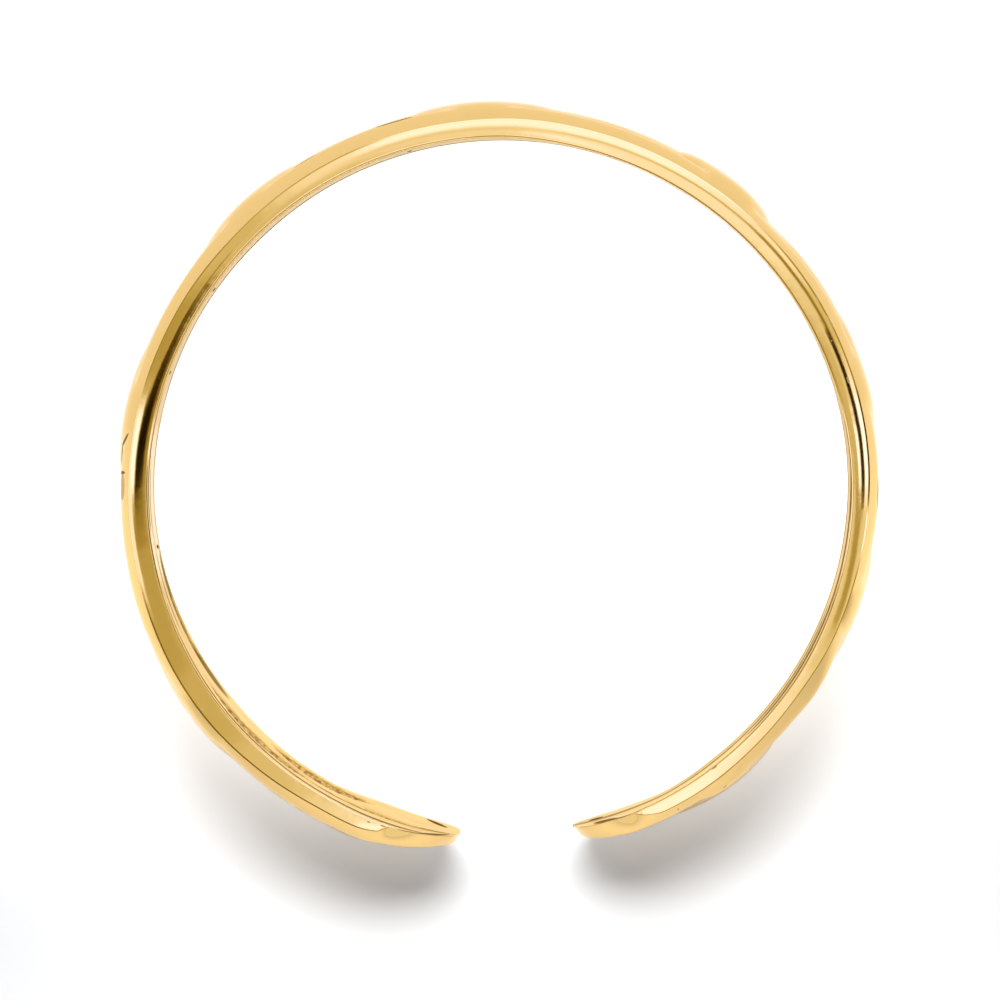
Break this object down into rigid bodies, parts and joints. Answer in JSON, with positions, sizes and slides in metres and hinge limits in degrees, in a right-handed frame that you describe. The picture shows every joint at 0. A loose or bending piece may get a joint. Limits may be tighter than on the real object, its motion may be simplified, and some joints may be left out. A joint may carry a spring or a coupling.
{
  "type": "toe ring",
  "caption": "Open band ring for a toe in polished gold-coloured metal, with a sprung gap between rounded tips, plain side faces and a raised wavy ribbon between rails.",
  "frame": {"origin": "on the bore's axis, at the height of the side face that the ring lies on; the box's middle is 0.3 mm from it along Y, because the gap leaves the tips short", "axes": "+Z along the bore, up from the table with the ring on its side; the gap between the tips faces -Y; +X across the ring"},
  "size_m": [0.016, 0.0156, 0.0045],
  "materials": {
    "gold": "polished yellow gold with a slightly rough cast surface in the inner pockets"
  },
  "bodies": {
    "root": {"toe_ring": "gold"}
  },
  "joints": []
}
